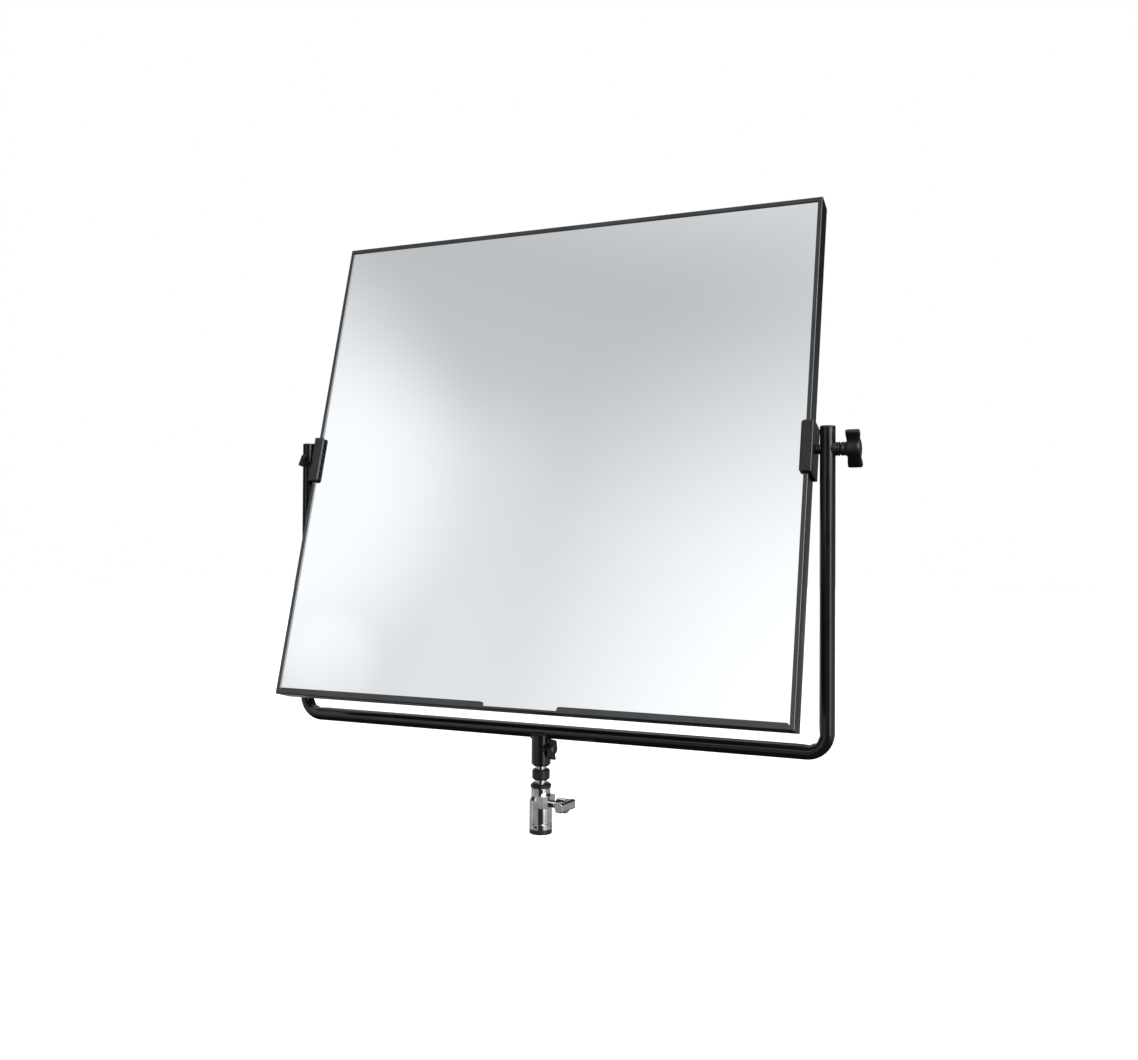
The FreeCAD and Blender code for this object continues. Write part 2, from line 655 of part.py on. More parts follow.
def make_lock_lever():
    pin_end = UPRIGHT_X + TUBE_R - PIN_BLIND - FACE_GAP
    pin = joined(
        button(SHOULDER_R, Vector(-CLAMP_OUT_X, 0, PIVOT_Z), Vector(-CLAMP_OUT_X - SHOULDER_L, 0, PIVOT_Z),
               SHOULDER_EDGE_R),
        rod(STUD_R, Vector(-CLAMP_IN_X, 0, PIVOT_Z), Vector(-pin_end, 0, PIVOT_Z)),
    )
    groove = rod(
        STUD_R + OVERRUN,
        Vector(-UPRIGHT_X - PIN_GROOVE_W / 2, 0, PIVOT_Z),
        Vector(-UPRIGHT_X + PIN_GROOVE_W / 2, 0, PIVOT_Z),
    ).cut(rod(
        STUD_R - PIN_GROOVE_DEPTH,
        Vector(-UPRIGHT_X - PIN_GROOVE_W, 0, PIVOT_Z),
        Vector(-UPRIGHT_X + PIN_GROOVE_W, 0, PIVOT_Z),
    ))
    add("pivot_pin_left", pin.cut(groove))

    # The screw meets the pin askew, so its flat pad has to start a little further out.
    askew = math.radians(abs(LEVER_TURN + 90))
    pad_r = LEVER_SHANK_R - PAD_SHRINK
    clear = STUD_R - PIN_GROOVE_DEPTH + PAD_STANDOFF
    pad_start = (clear + pad_r * math.sin(askew)) / math.cos(askew)
    pad_end = pad_start + LEVER_PAD_L
    pad = rod(pad_r, Vector(pad_start, 0, 0), Vector(pad_end, 0, 0))
    add("lever_pad", placed(pad, lever_place()))

    depth, length, thick = LEVER_BLADE
    collar_x = TUBE_R + LEVER_COLLAR_GAP
    blade_x = collar_x + LEVER_COLLAR_H - ROOT
    blade = block(
        Vector(blade_x, -thick / 2, LEVER_BLADE_RISE - length / 2),
        Vector(blade_x + depth, thick / 2, LEVER_BLADE_RISE + length / 2),
    )
    blade = rounded(blade, LEVER_BLADE_R, edge_runs(Y_AXIS))
    lever = joined(
        blade,
        rod(LEVER_COLLAR_R, Vector(collar_x, 0, 0), Vector(collar_x + LEVER_COLLAR_H, 0, 0)),
        rod(LEVER_SHANK_R, Vector(pad_end + FACE_GAP, 0, 0), Vector(collar_x + ROOT, 0, 0)),
    )
    add("lock_lever", placed(lever, lever_place(LEVER_ROLL)))


# ---- board -----------------------------------------------------------------
def add_to_board(node, *solids):
    add(node, *[placed(solid, board_place()) for solid in solids])


def inner_slab(low_y, high_y):
    """Sheet that fills the frame's channel, with its edge clearance."""
    half_w = BOARD_W / 2 - FRAME_WALL - EDGE_GAP
    half_h = BOARD_H / 2 - FRAME_WALL - EDGE_GAP
    return block(Vector(-half_w, low_y, -half_h), Vector(half_w, high_y, half_h))


def make_sheets():
    glass_y = FRONT_Y + FRAME_WALL
    foam_y = glass_y + GLASS_T
    core_y = foam_y + FOAM_T
    add_to_board("mirror_glass", inner_slab(glass_y, foam_y))
    add_to_board("foam_sheet", inner_slab(foam_y, core_y))
    add_to_board("core_board", inner_slab(core_y, BACK_Y - FRAME_WALL))


def channel(length, lip):
    """Frame length along X, its outer face down at Z = 0, the board above it."""
    half = length / 2
    web = block(Vector(-half, FRONT_Y, 0), Vector(half, BACK_Y, FRAME_WALL))
    front = block(Vector(-half, FRONT_Y, 0), Vector(half, FRONT_Y + FRAME_WALL, lip))
    rear = block(Vector(-half, BACK_Y - FRAME_WALL, 0), Vector(half, BACK_Y, LIP_REAR))
    shape = joined(web, front, rear)
    along = edge_runs(X_AXIS)
    outside = on_plane_y(FRONT_Y, BACK_Y)
    return rounded(shape, FRAME_EDGE_R,
                   lambda edge: along(edge) and outside(edge) and edge.CenterOfMass.z < TINY)


def mitred(shape, length):
    """Cut both ends of a frame length at 45 degrees."""
    depth = LIP_REAR + OVERRUN
    half = length / 2
    low_y = FRONT_Y - OVERRUN
    points = [
        Vector(-half, low_y, 0),
        Vector(half, low_y, 0),
        Vector(half - depth, low_y, depth),
        Vector(-half + depth, low_y, depth),
    ]
    face = Part.Face(Part.makePolygon(points + points[:1]))
    return shape.common(face.extrude(Vector(0, BOARD_DEPTH + 2 * OVERRUN, 0)))


def lip_gap():
    """Opening in the bottom lip, with round lip ends."""
    opening = block(
        Vector(LIP_GAP_X - LIP_GAP_W / 2, FRONT_Y - OVERRUN, LIP_GAP_LEFT + FRAME_WALL),
        Vector(LIP_GAP_X + LIP_GAP_W / 2, FRONT_Y + FRAME_WALL + OVERRUN / 2, LIP_BOTTOM + OVERRUN),
    )
    tops = []
    for side in (-1, 1):
        corner_x = LIP_GAP_X + side * LIP_GAP_W / 2
        low = Vector(min(corner_x, corner_x + side * LIP_END_R), FRONT_Y - OVERRUN, LIP_BOTTOM - LIP_END_R)
        high = Vector(max(corner_x, corner_x + side * LIP_END_R),
                      FRONT_Y + FRAME_WALL + OVERRUN / 2, LIP_BOTTOM + OVERRUN)
        centre = Vector(corner_x + side * LIP_END_R, FRONT_Y - 2 * OVERRUN, LIP_BOTTOM - LIP_END_R)
        keep = Part.makeCylinder(LIP_END_R, FRAME_WALL + 4 * OVERRUN, centre, Y_AXIS)
        tops.append(block(low, high).cut(keep))
    return [opening] + tops


def make_frame():
    sides = (
        ("frame_bottom", BOARD_W, BOARD_H / 2, LIP_BOTTOM, 0),
        ("frame_right", BOARD_H, BOARD_W / 2, LIP_SIDE, -90),
        ("frame_top", BOARD_W, BOARD_H / 2, LIP_SIDE, 180),
        ("frame_left", BOARD_H, BOARD_W / 2, LIP_SIDE, 90),
    )
    for node, length, reach, lip, turn in sides:
        shape = mitred(channel(length, lip), length)
        if node == "frame_bottom":
            shape = shape.cut(lip_gap())
        shape.translate(Vector(0, 0, -reach))
        shape.rotate(Vector(0, 0, 0), Y_AXIS, turn)
        add_to_board(node, shape)


def span(a, b):
    """Block between any two opposite corners."""
    low = Vector(min(a.x, b.x), min(a.y, b.y), min(a.z, b.z))
    high = Vector(max(a.x, b.x), max(a.y, b.y), max(a.z, b.z))
    return block(low, high)


def board_screw(face, head_r, head_h, length):
    """(screw, hole) driven from behind at a point of the plate's or clamp's rear face."""
    tip = face - Vector(0, length, 0)
    head = rod(head_r, face, face + Vector(0, head_h, 0))
    screw = joined(head, rod(PLATE_SHANK_R, tip, face + Vector(0, PAD_STANDOFF, 0)))
    hole = rod(PLATE_SHANK_R + SEAT_FIT, tip - Vector(0, FACE_GAP, 0), face + Vector(0, OVERRUN, 0))
    return screw, hole


def make_corner_plate(side_x, side_z):
    """L-shaped plate and its three screws on the back of one mitre."""
    corner = Vector(side_x * (BOARD_W / 2 - PLATE_INSET), BACK_Y, side_z * (BOARD_H / 2 - PLATE_INSET))
    width = LIP_REAR + PLATE_W
    legs = [
        span(corner, corner + Vector(-side_x * reach_x, PLATE_T, -side_z * reach_z))
        for reach_x, reach_z in ((PLATE_LEG, width), (width, PLATE_LEG))
    ]
    in_from_edge = LIP_REAR + PLATE_W / 2 - 2 * PLATE_INSET
    made = []
    for step_x, step_z in ((0, 0), (PLATE_HOLE_PITCH, 0), (0, PLATE_HOLE_PITCH)):
        face = corner + Vector(-side_x * (in_from_edge + step_x), PLATE_T, -side_z * (in_from_edge + step_z))
        made.append(board_screw(face, PLATE_SCREW_R, PLATE_SCREW_H, PLATE_SHANK_L))
    holes = [hole for screw, hole in made]
    row = "top" if side_z > 0 else "bottom"
    column = "right" if side_x > 0 else "left"
    add_to_board("corner_plate_" + row + "_" + column, joined(*legs).cut(holes))
    add_to_board("corner_screws", *[screw for screw, hole in made])
    board_holes.extend(holes)


def make_corner_plates():
    for side_z in (-1, 1):
        for side_x in (-1, 1):
            make_corner_plate(side_x, side_z)


# ---- edge clamps -----------------------------------------------------------
def u_shape(inner_x, wall, front_y, back_y, height, reach, corner_r, edge_r):
    """Channel around the board's right edge, open towards the board's middle."""
    low_y = front_y - wall
    high_y = back_y + wall
    outer = block(Vector(reach, low_y, -height / 2), Vector(inner_x + wall, high_y, height / 2))
    along_y = edge_runs(Y_AXIS)
    outer = rounded(outer, corner_r, lambda edge: along_y(edge) and edge.CenterOfMass.x < inner_x)
    outer = rounded(outer, edge_r, on_plane_y(low_y, high_y))
    inner = block(Vector(reach - OVERRUN, front_y, -height), Vector(inner_x, back_y, height))
    return outer.cut(inner)


def sided(shapes, side):
    """Shapes made for the right edge, mirrored for the left one."""
    if side > 0:
        return shapes
    return [shape.mirror(Vector(0, 0, 0), X_AXIS) for shape in shapes]


def make_clamps():
    reach = BOARD_W / 2 - CLAMP_REACH
    front = FRONT_Y - LINER_T
    back = BACK_Y + LINER_T
    clamp = u_shape(CLAMP_IN_X, CLAMP_T, front, back, CLAMP_H, reach, CLAMP_CORNER_R, CLAMP_EDGE_R)
    liner = u_shape(BOARD_W / 2, LINER_T, FRONT_Y, BACK_Y, CLAMP_H - 2 * LINER_SHY, reach + LINER_SHY,
                    LINER_CORNER_R, LINER_EDGE_R)
    stud_hole = rod(STUD_R + SEAT_FIT, Vector(CLAMP_IN_X - OVERRUN, 0, 0), Vector(CLAMP_OUT_X + OVERRUN, 0, 0))

    screw_x = BOARD_W / 2 - CLAMP_REACH / 2
    made = []
    for up in (-CLAMP_SCREW_UP, CLAMP_SCREW_UP):
        face = Vector(screw_x, back + CLAMP_T, up)
        made.append(board_screw(face, CLAMP_SCREW_R, CLAMP_SCREW_H, PLATE_SHANK_L + LINER_T))
    holes = [hole for screw, hole in made]

    rivet_at = Vector(BOARD_W / 2 - CLAMP_RIVET_IN, front - CLAMP_T, CLAMP_RIVET_UP)
    rivet_inner = rivet_at + Vector(0, CLAMP_T + LINER_T, 0)
    rivet = rod(CLAMP_RIVET_R, rivet_at - Vector(0, CLAMP_RIVET_H, 0), rivet_inner)
    rivet_hole = rod(CLAMP_RIVET_R + SEAT_FIT, rivet_at - Vector(0, OVERRUN, 0),
                     rivet_inner + Vector(0, SEAT_FIT, 0))
    clamp = clamp.cut([stud_hole, rivet_hole] + holes)
    liner = liner.cut([rivet_hole] + holes)
    screws = [screw for screw, hole in made] + [rivet]
    for side, name in ((-1, "left"), (1, "right")):
        add_to_board("edge_clamp_" + name, *sided([clamp], side))
        add_to_board("clamp_liner_" + name, *sided([liner], side))
        add_to_board("clamp_screws_" + name, *sided(screws, side))
        board_holes.extend(sided(holes, side))


def drill_board():
    """Screw holes through the frame's rear lips and into the core."""
    place = board_place()
    holes = [placed(hole, place) for hole in board_holes]
    for node in ("frame_bottom", "frame_top", "frame_left", "frame_right", "core_board"):
        pieces[node] = [pieces[node][0].cut(holes)]


make_adapter_body()
make_adapter_rings()
make_spigot()
make_t_handle()
make_receiver()
make_receiver_knob()
make_yoke()
make_saddles()
make_tilt_knob()
make_lock_lever()
make_sheets()
make_frame()
make_corner_plates()
make_clamps()
drill_board()

os.makedirs("parts", exist_ok=True)
for node, shapes in pieces.items():
    solids = [solid for shape in shapes for solid in shape.Solids]
    shape = solids[0] if len(solids) == 1 else Part.makeCompound(solids)
    assert shape.isValid(), node
    shape.exportStep("parts/" + node + ".step")
    print(node, len(solids), round(sum(solid.Volume for solid in solids), 1))
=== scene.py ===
import json
import math

import bmesh
import bpy
from mathutils import Matrix, Vector


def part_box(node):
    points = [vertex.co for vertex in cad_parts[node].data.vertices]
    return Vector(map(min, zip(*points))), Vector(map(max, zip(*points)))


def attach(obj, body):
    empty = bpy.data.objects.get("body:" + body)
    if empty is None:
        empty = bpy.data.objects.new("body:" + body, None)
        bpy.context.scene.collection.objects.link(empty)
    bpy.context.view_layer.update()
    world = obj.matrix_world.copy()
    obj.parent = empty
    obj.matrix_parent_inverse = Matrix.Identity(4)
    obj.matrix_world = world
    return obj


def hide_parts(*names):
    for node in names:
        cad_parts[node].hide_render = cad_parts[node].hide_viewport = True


MM = 0.001

# ---- camera ----------------------------------------------------------------
CAMERA_FROM_AXIS = (0.5116, -1.1382, -0.0938)    # from the middle of the board's tilt axis
CAMERA_YAW = 22.8       # degrees, from +Y towards -X
CAMERA_PITCH = 0.738
CAMERA_ROLL = 0.291
LENS_MM = 34.53
SENSOR_MM = 36.0
SHIFT_Y = -0.0045
CLIP_END = 100.0

# ---- floor -----------------------------------------------------------------
FLOOR_Z = -1.0
FLOOR_R = 30.0
FLOOR_SIDES = 96
FLOOR_SHINE = 0.62      # own light, so that the paper stays pale

# ---- finishes --------------------------------------------------------------
BLOTCH_TONE = 0.14      # how much darker and lighter than its colour a finish gets in blotches
SCUFF_SIZE = 0.2        # size of the scuffs on edges, as a share of the blotches
GRAIN_STRENGTH = 0.6
EDGE_SAMPLES = 6
# Cosine between a face's normal and the rounded one: from flat face to fully worn edge.
EDGE_FLAT = 0.995
EDGE_WORN = 0.80

# ---- yoke tube, as bent ----------------------------------------------------
BEND_R = 21.5 * MM
# Shares of the tube's radius:
BEND_FLAT = 0.20        # pressed flat inside a bend
BEND_RIPPLE = 0.07      # puckered inside a bend
BEND_STEP = 0.05        # swollen just before and after a bend
# Shares of a bend's length:
FLAT_REACH = 0.42
RIPPLE_REACH = 0.34
STEP_OFF = 0.16         # from a bend's end to the middle of the swelling
STEP_REACH = 0.12
RIPPLE_FOLDS = 5
RIPPLE_UNEVEN = 0.6     # how much the puckers differ round the tube
UPRIGHT_RINGS = 30
BEND_RINGS = 48
RUN_RINGS = 60
RING_POINTS = 64

# ---- weld under the tube ---------------------------------------------------
RECEIVER_R = 11.0 * MM  # round body welded on
WELD_R = 1.3 * MM
WELD_OUT = 0.2 * MM     # centre of the bead, outside the receiver
WELD_LOW = 0.36         # share of the tube's radius that the bead's centre stays below its middle
WELD_DROPS = ((0.16, 22), (0.06, 51))   # (share of the bead's radius, how many round the receiver)
WELD_RINGS = 120
WELD_POINTS = 14

# ---- wing knobs ------------------------------------------------------------
TILT_KNOB_ROLL = 32.0   # degrees about the screw
# Hubs as turned outlines: (mm along the screw, radius in mm).
TILT_HUB = (
    (0.0, 5.4), (0.8, 5.6), (0.9, 6.6), (1.5, 7.1), (3.4, 7.15), (3.9, 6.7), (4.3, 6.6), (4.8, 7.1),
    (6.4, 7.4), (7.4, 8.2), (9.5, 8.6), (16.0, 8.6), (18.6, 8.2), (20.2, 6.8), (20.7, 5.0), (20.8, 2.0))
YOKE_HUB = (
    (13.7, 4.2), (15.0, 4.4), (15.3, 5.2), (16.2, 5.5), (21.6, 5.5), (22.8, 5.0), (23.4, 3.6), (23.5, 1.0))
TILT_WINGS = {"depth": 15.0 * MM, "span": 42.4 * MM, "thick": 7.5 * MM, "hub_r": 8.6 * MM}
YOKE_WINGS = {"depth": 9.2 * MM, "span": 22.0 * MM, "thick": 6.5 * MM, "hub_r": 5.4 * MM}
YOKE_WINGS_X = 15.0 * MM
WING_RINGS = 60
WING_POINTS = 40
TIP_FROM = 0.84         # share of a wing's length where its tip starts to round
TIP_THICK = 0.38        # thickness left at the tip, as a share
TIP_CURVE = 2.4
TIP_INSET = 0.07        # how far the tip's two faces round off, as a share of the depth
ROUND_SECTION = 0.45    # a section's corners: 1 is an ellipse, 0 a rectangle
ROOT_THICK = 0.86       # thickness near the hub, as a share of that at the tip
ROOT_SWELL = 0.8        # how far the wings swell up to the hub
ROOT_REACH = 0.34
S_SWEEP = 0.22          # sideways sweep, as a share of the thickness
INNER_SCOOP = (0.04, 0.42, 0.20)    # share of the depth, place along a wing, reach
OUTER_SCOOP = (0.05, 0.48, 0.14)
UPPER_SHORT = 0.04      # how much shallower the upper wing's tip is, as a share of the depth

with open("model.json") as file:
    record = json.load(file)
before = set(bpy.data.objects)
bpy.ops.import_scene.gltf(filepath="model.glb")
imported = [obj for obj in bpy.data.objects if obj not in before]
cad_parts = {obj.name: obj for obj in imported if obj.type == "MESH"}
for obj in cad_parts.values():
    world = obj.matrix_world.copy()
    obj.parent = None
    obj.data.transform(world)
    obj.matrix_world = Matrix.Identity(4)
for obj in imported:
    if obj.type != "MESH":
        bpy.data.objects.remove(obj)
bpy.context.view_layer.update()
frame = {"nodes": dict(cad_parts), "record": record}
nodes = frame["nodes"]
body_of = {node: body for body, members in frame["record"]["behaviour"]["bodies"].items() for node in members}
slot_of = {part["node"]: part["material_slot"] for part in frame["record"]["subparts"]}
joint_of = {joint["name"]: joint for joint in frame["record"]["behaviour"]["joints"]}


# ---- node trees ------------------------------------------------------------
class Nodes:
    """Node tree of a material or world, and short calls that add nodes to it."""

    def __init__(self, owner):
        owner.use_nodes = True
        self.tree = owner.node_tree

    def put(self, socket, value):
        if isinstance(value, bpy.types.NodeSocket):
            self.tree.links.new(value, socket)
        else:
            socket.default_value = value

    def node(self, kind, inputs=(), **settings):
        """New node; inputs are values in the order of its sockets, or a dict by socket name or number."""
        made = self.tree.nodes.new(kind)
        for key, value in settings.items():
            setattr(made, key, value)
        by_socket = inputs if isinstance(inputs, dict) else dict(enumerate(inputs))
        for key, value in by_socket.items():
            self.put(made.inputs[key], value)
        return made

    def math(self, operation, a, b=0.0):
        return self.node("ShaderNodeMath", [a, b], operation=operation).outputs[0]


# ---- materials -------------------------------------------------------------
class Shader(Nodes):
    """One Principled material."""

    def __init__(self, name, colour, roughness, metallic=0.0, **sockets):
        self.material = bpy.data.materials.new(name)
        super().__init__(self.material)
        self.shader = self.tree.nodes["Principled BSDF"]
        self.put(self.shader.inputs["Base Color"], (*colour, 1.0))
        self.put(self.shader.inputs["Roughness"], roughness)
        self.put(self.shader.inputs["Metallic"], metallic)
        for socket, value in sockets.items():
            self.put(self.shader.inputs[socket.replace("_", " ")], value)
        self.place = self.node("ShaderNodeTexCoord").outputs["Object"]

    def noise(self, size, detail, stretch=(1, 1, 1), rough=0.55):
        """Noise whose blobs are about size metres across."""
        mapping = self.node("ShaderNodeMapping", {"Vector": self.place, "Scale": stretch})
        made = self.node("ShaderNodeTexNoise", {
            "Vector": mapping.outputs["Vector"], "Scale": 1.0 / size, "Detail": detail, "Roughness": rough})
        return made.outputs["Fac"]

    def ramp(self, value, start, end, low, high):
        """low at start, high at end, and straight in between."""
        return self.node("ShaderNodeMapRange", [value, start, end, low, high]).outputs["Result"]

    def mix(self, share, a, b):
        """Colour a where share is 0, b where it is 1."""
        a, b = (colour if isinstance(colour, bpy.types.NodeSocket) else (*colour, 1.0) for colour in (a, b))
        return self.node("ShaderNodeMix", {0: share, 6: a, 7: b}, data_type="RGBA").outputs[2]

    def edges(self, radius):
        """(rounded normal, mask that is 1 on sharp edges)."""
        bevel = self.node("ShaderNodeBevel", {"Radius": radius}, samples=EDGE_SAMPLES).outputs["Normal"]
        true = self.node("ShaderNodeNewGeometry").outputs["Normal"]
        along = self.node("ShaderNodeVectorMath", [bevel, true], operation="DOT_PRODUCT")
        return bevel, self.ramp(along.outputs["Value"], EDGE_FLAT, EDGE_WORN, 0.0, 1.0)

    def bump(self, height, strength, distance, normal=None):
        made = self.node("ShaderNodeBump", {"Height": height, "Strength": strength, "Distance": distance})
        if normal is not None:
            self.put(made.inputs["Normal"], normal)
        self.put(self.shader.inputs["Normal"], made.outputs["Normal"])


def worn(name, colour, roughness, metallic=0.0, *, grain, grain_depth, spread, edge_r=None, edge_colour=None,
         edge_share=None, blotch=0.03, **sockets):
    """Finish with fine grain, blotches in colour and gloss, and worn edges.

    grain: size of the surface's texture in metres; grain_depth: its height;
    spread: how far roughness varies; blotch: size of the blotches;
    edge_r: radius of the worn edges, left out where the pieces' own edges are already round;
    edge_share: how much of an edge shows edge_colour.
    """
    made = Shader(name, colour, roughness, metallic, **sockets)
    large = made.noise(blotch, 5.0)
    dark = tuple(c * (1 - BLOTCH_TONE) for c in colour)
    light = tuple(c * (1 + BLOTCH_TONE) for c in colour)
    base = made.mix(made.ramp(large, 0.35, 0.65, 0.0, 1.0), dark, light)
    rounded = None
    if edge_r:
        rounded, edge = made.edges(edge_r)
        scuffed = made.ramp(made.noise(blotch * SCUFF_SIZE, 6.0, rough=0.7), 0.48, 0.62, 0.0, edge_share)
        base = made.mix(made.math("MULTIPLY", edge, scuffed), base, edge_colour)
    made.put(made.shader.inputs["Base Color"], base)
    gloss = made.ramp(large, 0.3, 0.7, roughness - spread, roughness + spread)
    made.put(made.shader.inputs["Roughness"], gloss)
    made.bump(made.noise(grain, 3.0), GRAIN_STRENGTH, grain_depth, rounded)
    return made.material


def mirror_material():
    """Silvered glass: a bright metal mirror with faint haze and float-glass waviness."""
    made = Shader("mirror", (0.905, 0.93, 0.945), 0.02, 1.0)
    haze = made.ramp(made.noise(0.11, 6.0, rough=0.6), 0.45, 0.75, 0.015, 0.06)
    made.put(made.shader.inputs["Roughness"], haze)
    made.bump(made.noise(0.16, 1.0), 0.08, 0.0004)
    return made.material


def wood_material():
    """Ply core painted black: grain along X shows through as ridges."""
    made = Shader("black_board", (0.022, 0.021, 0.02), 0.62)
    grain = made.noise(0.004, 6.0, (0.06, 1, 1))
    pores = made.noise(0.03, 3.0, (0.2, 1, 1))
    base = made.mix(made.ramp(pores, 0.35, 0.7, 0.0, 1.0), (0.017, 0.016, 0.015), (0.032, 0.029, 0.026))
    made.put(made.shader.inputs["Base Color"], base)
    made.put(made.shader.inputs["Roughness"], made.ramp(grain, 0.3, 0.7, 0.52, 0.74))
    made.bump(grain, 0.7, 0.00025)
    return made.material


def make_finishes():
    """Material of each slot, by the slot's name."""
    return {
        "chrome": worn("chrome", (0.64, 0.625, 0.61), 0.10, 1.0, grain=0.0014, grain_depth=0.000008,
                       spread=0.05, edge_r=0.0006, edge_colour=(0.45, 0.40, 0.33), edge_share=0.5,
                       blotch=0.012),
        "black_plastic": worn("black_plastic", (0.013, 0.013, 0.0135), 0.38, grain=0.0007,
                              grain_depth=0.00003, spread=0.06, edge_r=0.0005,
                              edge_colour=(0.03, 0.03, 0.031), edge_share=0.8, blotch=0.015),
        "black_nylon": worn("black_nylon", (0.012, 0.012, 0.0125), 0.3, grain=0.0012, grain_depth=0.00002,
                            spread=0.06, edge_r=0.0004, edge_colour=(0.035, 0.035, 0.035), edge_share=0.8),
        "brass": worn("brass", (0.72, 0.56, 0.27), 0.3, 1.0, grain=0.0008, grain_depth=0.00002, spread=0.1,
                      edge_r=0.0002, edge_colour=(0.8, 0.65, 0.35), edge_share=0.5),
        "black_steel": worn("black_steel", (0.0075, 0.0075, 0.008), 0.2, grain=0.0016, grain_depth=0.000008,
                            spread=0.05, blotch=0.04, Specular_IOR_Level=0.62),
        "steel": worn("steel", (0.5, 0.5, 0.5), 0.3, 1.0, grain=0.0006, grain_depth=0.00003, spread=0.08,
                      edge_r=0.0002, edge_colour=(0.6, 0.6, 0.6), edge_share=0.5),
        "black_oxide": worn("black_oxide", (0.016, 0.016, 0.017), 0.3, 0.3, grain=0.0006, grain_depth=0.00002,
                            spread=0.08, edge_r=0.0003, edge_colour=(0.30, 0.30, 0.31), edge_share=0.5),
        "mirror": mirror_material(),
        "foam": worn("foam", (0.05, 0.05, 0.05), 0.9, grain=0.0012, grain_depth=0.0003, spread=0.05,
                     edge_r=0.0005, edge_colour=(0.06, 0.06, 0.06), edge_share=0.2),
        "black_board": wood_material(),
        "black_aluminium": worn("black_aluminium", (0.085, 0.086, 0.088), 0.28, 1.0, grain=0.0016,
                                grain_depth=0.000008, spread=0.05, blotch=0.05),
        "black_clamp": worn("black_clamp", (0.012, 0.012, 0.013), 0.34, grain=0.001, grain_depth=0.00003,
                            spread=0.05, edge_r=0.0006, edge_colour=(0.035, 0.035, 0.036), edge_share=0.9,
                            blotch=0.02),
        "liner": worn("liner", (0.012, 0.012, 0.012), 0.8, grain=0.0008, grain_depth=0.0001, spread=0.08,
                      edge_r=0.0003, edge_colour=(0.03, 0.03, 0.03), edge_share=0.4),
    }


# ---- pieces ----------------------------------------------------------------
def new_piece(name, bm, replaced, slot=None, body=None):
    """Mesh object from bm that stands for the CAD nodes in replaced, or adds to a body if there are none."""
    mesh = bpy.data.meshes.new(name)
    bmesh.ops.recalc_face_normals(bm, faces=bm.faces)
    bm.to_mesh(mesh)
    bm.free()
    piece = bpy.data.objects.new(name, mesh)
    bpy.context.scene.collection.objects.link(piece)
    slot = slot or slot_of[replaced[0]]
    mesh.materials.append(finishes[slot])
    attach(piece, body or body_of[replaced[0]])
    if replaced:
        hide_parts(*replaced)
    return piece


def smooth(piece, angle):
    """Smooth shading, with edges sharper than angle degrees kept."""
    piece.data.shade_smooth()
    piece.data.set_sharp_from_angle(angle=math.radians(angle))


def skin(bm, rings, closed=True):
    """Quads between neighbouring rings of points, each ring closed, with end faces if closed."""
    made = [[bm.verts.new(point) for point in ring] for ring in rings]
    for low, high in zip(made, made[1:]):
        count = len(low)
        for i in range(count):
            j = (i + 1) % count
            bm.faces.new((low[i], low[j], high[j], high[i]))
    if closed:
        bm.faces.new(reversed(made[0]))
        bm.faces.new(made[-1])


def around(count):
    """Angles of count points round a full turn."""
    return [2 * math.pi * k / count for k in range(count)]


def bell(value, centre, width):
    """1 at centre, falling off on both sides over about width."""
    return math.exp(-((value - centre) / width) ** 2)


def yoke_stops(upright_x, tube_z, top_z):
    """Places of the tube's rings, from the left end down, along the run and up to the right end.

    Each is (centre, outward direction in degrees, place along the nearest bend, where 0 to 1 is inside it).
    """
    run_x = upright_x - BEND_R
    bend_z = tube_z + BEND_R
    arc = BEND_R * math.pi / 2
    left = []
    for i in range(UPRIGHT_RINGS):
        z = top_z + (bend_z - top_z) * i / UPRIGHT_RINGS
        left.append((Vector((-upright_x, 0, z)), 180.0, (bend_z - z) / arc))
    for i in range(BEND_RINGS + 1):
        outward = 180 + 90 * i / BEND_RINGS
        angle = math.radians(outward)
        centre = Vector((-run_x + BEND_R * math.cos(angle), 0, bend_z + BEND_R * math.sin(angle)))
        left.append((centre, outward, i / BEND_RINGS))
    run = []
    for i in range(1, RUN_RINGS):
        x = -run_x + 2 * run_x * i / RUN_RINGS
        run.append((Vector((x, 0, tube_z)), 270.0, 1 + (run_x - abs(x)) / arc))
    right = [(Vector((-centre.x, 0, centre.z)), 540 - outward, place)
             for centre, outward, place in reversed(left)]
    return left + run + right


def tube_ring(centre, outward, place, tube_r):
    """Section of the tube, pressed flat and puckered inside a bend and swollen just before and after it."""
    out = Vector((math.cos(math.radians(outward)), 0, math.sin(math.radians(outward))))
    side = Vector((0, 1, 0))
    flat = BEND_FLAT * bell(place, 0.5, FLAT_REACH)
    pucker = BEND_RIPPLE * math.sin(place * math.pi * RIPPLE_FOLDS) * bell(place, 0.5, RIPPLE_REACH)
    swell = BEND_STEP * (bell(place, -STEP_OFF, STEP_REACH) + bell(place, 1 + STEP_OFF, STEP_REACH))
    ring = []
    for angle in around(RING_POINTS):
        facing = math.cos(angle)            # -1 on the inside of the bend
        inner = max(0.0, -facing)
        uneven = 1 + RIPPLE_UNEVEN * math.sin(3 * angle)
        radius = tube_r * (1 - flat * inner ** 3 - pucker * inner ** 2 * uneven + swell * inner ** 4)
        ring.append(centre + (out * facing + side * math.sin(angle)) * radius)
    return ring


def make_yoke_tube():
    """Round section swept along the yoke; returns the tube's radius and the height of its run."""
    low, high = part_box("yoke_tube")
    tube_r = (high.y - low.y) / 2
    tube_z = low.z + tube_r
    bm = bmesh.new()
    skin(bm, [tube_ring(*stop, tube_r) for stop in yoke_stops(high.x - tube_r, tube_z, high.z)])
    smooth(new_piece("bent_tube", bm, ["yoke_tube"]), 40)
    return tube_r, tube_z


